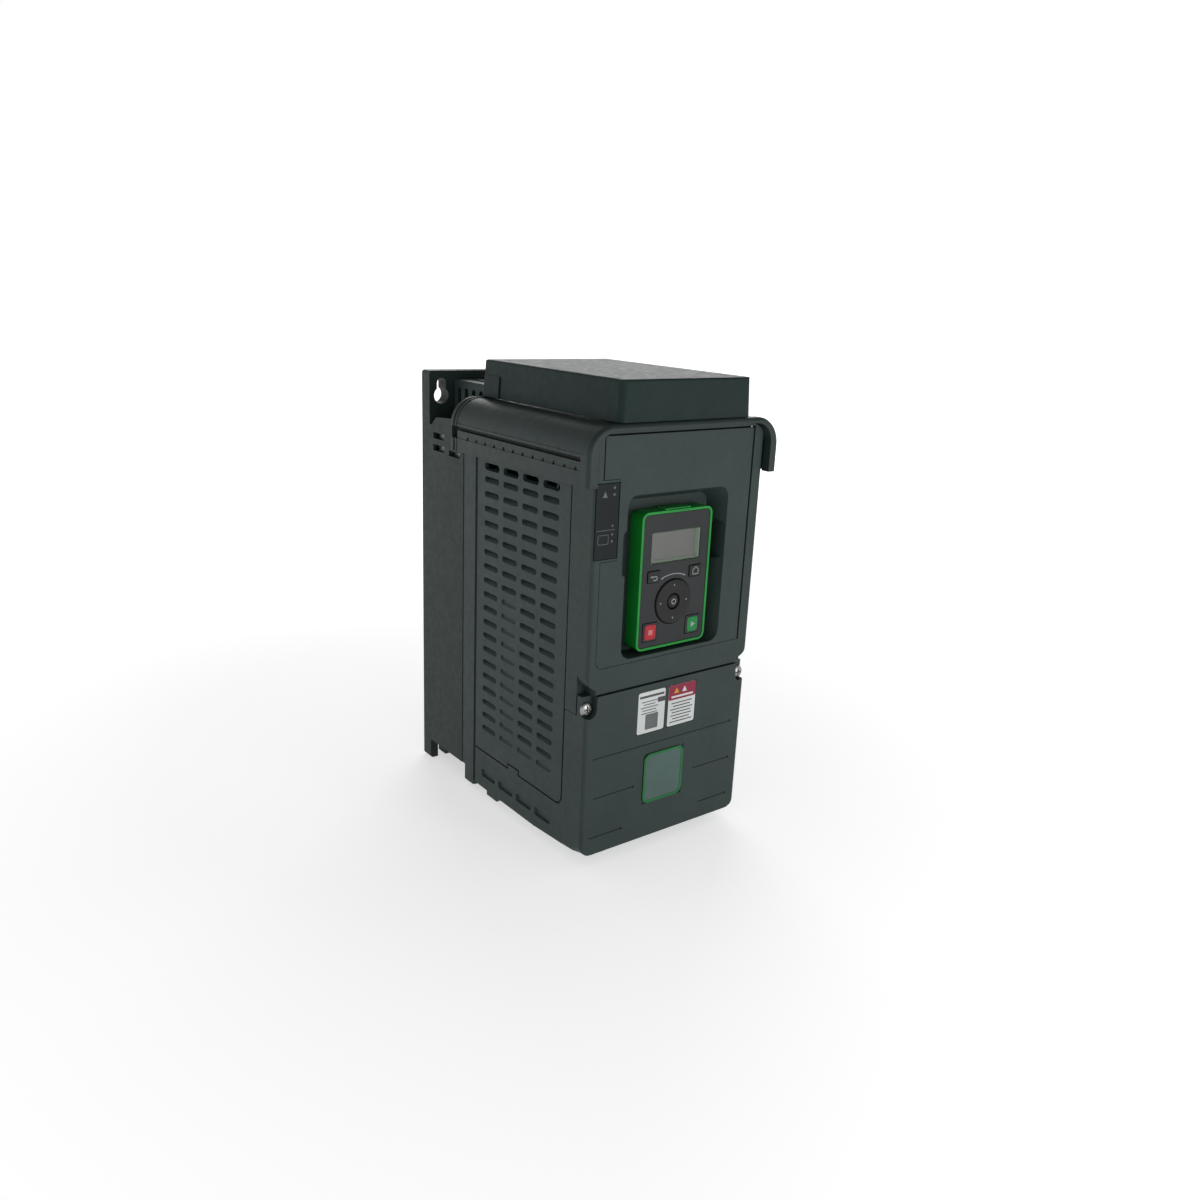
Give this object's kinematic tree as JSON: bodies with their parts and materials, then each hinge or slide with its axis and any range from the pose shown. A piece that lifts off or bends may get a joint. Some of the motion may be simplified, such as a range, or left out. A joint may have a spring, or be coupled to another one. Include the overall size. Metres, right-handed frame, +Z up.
{
  "type": "variable frequency drive",
  "caption": "Wall-mounted variable frequency drive with hinged front door, plug-in keypad, lift-off terminal cover, vented sides and top cover.",
  "frame": {"origin": "middle of the wall face of the rear housing, where the drive meets the wall", "axes": "+X to the right seen from the front, +Y into the wall, +Z up"},
  "size_m": [0.1464, 0.204, 0.2968],
  "materials": {
    "moulded_grey": "fine-textured moulded plastic, satin",
    "black_plastic": "smooth moulded plastic",
    "window_black": "gloss tinted window",
    "keypad_green": "satin green plastic",
    "key_red": "satin key cap",
    "key_green": "satin key cap",
    "lcd_glass": "clear window",
    "lcd_backing": "grey-green display",
    "board_green": "solder-resist green",
    "bright_steel": "bright zinc plate",
    "zinc_steel": "dull zinc plate",
    "bare_aluminium": "extruded, satin",
    "rubber": "soft black rubber",
    "label_white": "printed film",
    "badge_grey": "satin badge",
    "terminal_grey": "moulded terminal body",
    "connector_green": "moulded connector",
    "can_sleeve": "shrink sleeve",
    "choke_iron": "varnished core and windings"
  },
  "bodies": {
    "housing": {"rear_housing": "moulded_grey", "air_outlet": "moulded_grey", "mid_frame": "moulded_grey", "left_vent_panel": "moulded_grey", "right_vent_panel": "moulded_grey", "lower_housing": "moulded_grey", "hood": "moulded_grey", "front_shell": "moulded_grey", "fan_cartridge": "black_plastic", "power_module": "black_plastic", "rectifier_module": "black_plastic", "output_relay_1": "black_plastic", "output_relay_2": "black_plastic", "inner_fan_frame": "black_plastic", "status_window": "window_black", "power_board": "board_green", "control_board": "board_green", "lower_hinge_pin": "bright_steel", "upper_hinge_pin": "bright_steel", "earth_bar": "bright_steel", "network_socket": "bright_steel", "gland_plate": "zinc_steel", "shield_plate": "zinc_steel", "heat_sink": "bare_aluminium", "cable_grommet_1": "rubber", "cable_grommet_2": "rubber", "cable_grommet_3": "rubber", "power_terminal_block": "terminal_grey", "control_terminal_block": "connector_green", "relay_terminal_block": "connector_green", "bus_capacitor_1": "can_sleeve", "bus_capacitor_2": "can_sleeve", "bus_capacitor_3": "can_sleeve", "bus_capacitor_4": "can_sleeve", "choke": "choke_iron"},
    "fan_left": {"fan_rotor_left": "black_plastic"},
    "fan_right": {"fan_rotor_right": "black_plastic"},
    "inner_fan": {"inner_fan_rotor": "black_plastic"},
    "lid": {"top_cover": "moulded_grey"},
    "door": {"front_door": "moulded_grey", "keypad_socket": "black_plastic"},
    "keypad": {"keypad_frame": "keypad_green", "keypad_back": "black_plastic", "keypad_face": "black_plastic", "lcd_window": "lcd_glass", "lcd_module": "lcd_backing", "keypad_board": "board_green"},
    "esc": {"esc_key": "black_plastic"},
    "home": {"home_key": "black_plastic"},
    "stop": {"stop_key": "key_red"},
    "run": {"run_key": "key_green"},
    "ok": {"ok_key": "black_plastic"},
    "gimbal": {"nav_gimbal": "black_plastic"},
    "ring": {"nav_ring": "black_plastic"},
    "cover": {"terminal_cover": "moulded_grey", "rating_label": "label_white", "caution_label": "label_white", "badge": "badge_grey"},
    "screw_left": {"cover_screw_left": "bright_steel"},
    "screw_right": {"cover_screw_right": "bright_steel"}
  },
  "joints": [
    {"name": "fan_left_spin", "type": "hinge", "parent": "housing", "child": "fan_left", "pos_m": [-0.027, -0.0335, -0.11675], "axis": [0, 0, 1], "continuous": true},
    {"name": "fan_right_spin", "type": "hinge", "parent": "housing", "child": "fan_right", "pos_m": [0.027, -0.0335, -0.11675], "axis": [0, 0, 1], "continuous": true},
    {"name": "inner_fan_spin", "type": "hinge", "parent": "housing", "child": "inner_fan", "pos_m": [0, -0.116, 0.09525], "axis": [0, 0, 1], "continuous": true},
    {"name": "top_cover_lift", "type": "slide", "parent": "housing", "child": "lid", "axis": [0, 0, 1], "range_m": [0, 0.05]},
    {"name": "door_swing", "type": "hinge", "parent": "housing", "child": "door", "pos_m": [0.0542, -0.1982, 0.05615], "axis": [0, 0, 1], "range_deg": [0, 95]},
    {"name": "keypad_pull", "type": "slide", "parent": "door", "child": "keypad", "axis": [0, -1, 0], "range_m": [0, 0.04]},
    {"name": "esc_press", "type": "slide", "parent": "keypad", "child": "esc", "axis": [0, 1, 0], "range_m": [0, 0.0006], "stiffness_N_per_m": 400, "springref_m": -0.0005},
    {"name": "home_press", "type": "slide", "parent": "keypad", "child": "home", "axis": [0, 1, 0], "range_m": [0, 0.0006], "stiffness_N_per_m": 400, "springref_m": -0.0005},
    {"name": "stop_press", "type": "slide", "parent": "keypad", "child": "stop", "axis": [0, 1, 0], "range_m": [0, 0.0006], "stiffness_N_per_m": 400, "springref_m": -0.0005},
    {"name": "run_press", "type": "slide", "parent": "keypad", "child": "run", "axis": [0, 1, 0], "range_m": [0, 0.0006], "stiffness_N_per_m": 400, "springref_m": -0.0005},
    {"name": "ok_press", "type": "slide", "parent": "keypad", "child": "ok", "axis": [0, 1, 0], "range_m": [0, 0.0006], "stiffness_N_per_m": 400, "springref_m": -0.0005},
    {"name": "ring_tilt_up_down", "type": "hinge", "parent": "keypad", "child": "gimbal", "pos_m": [0, -0.195, 0.02045], "axis": [1, 0, 0], "range_deg": [-3, 3], "stiffness_Nm_per_rad": 0.02},
    {"name": "ring_tilt_left_right", "type": "hinge", "parent": "gimbal", "child": "ring", "pos_m": [0, -0.195, 0.02045], "axis": [0, 0, 1], "range_deg": [-3, 3], "stiffness_Nm_per_rad": 0.02},
    {"name": "terminal_cover_pull", "type": "slide", "parent": "housing", "child": "cover", "axis": [0, -1, 0], "range_m": [0, 0.06]},
    {"name": "screw_left_turn", "type": "hinge", "parent": "cover", "child": "screw_left", "pos_m": [-0.062, -0.193, -0.03775], "axis": [0, -1, 0], "range_deg": [0, 1080]},
    {"name": "screw_right_turn", "type": "hinge", "parent": "cover", "child": "screw_right", "pos_m": [0.062, -0.193, -0.03775], "axis": [0, -1, 0], "range_deg": [0, 1080]}
  ]
}
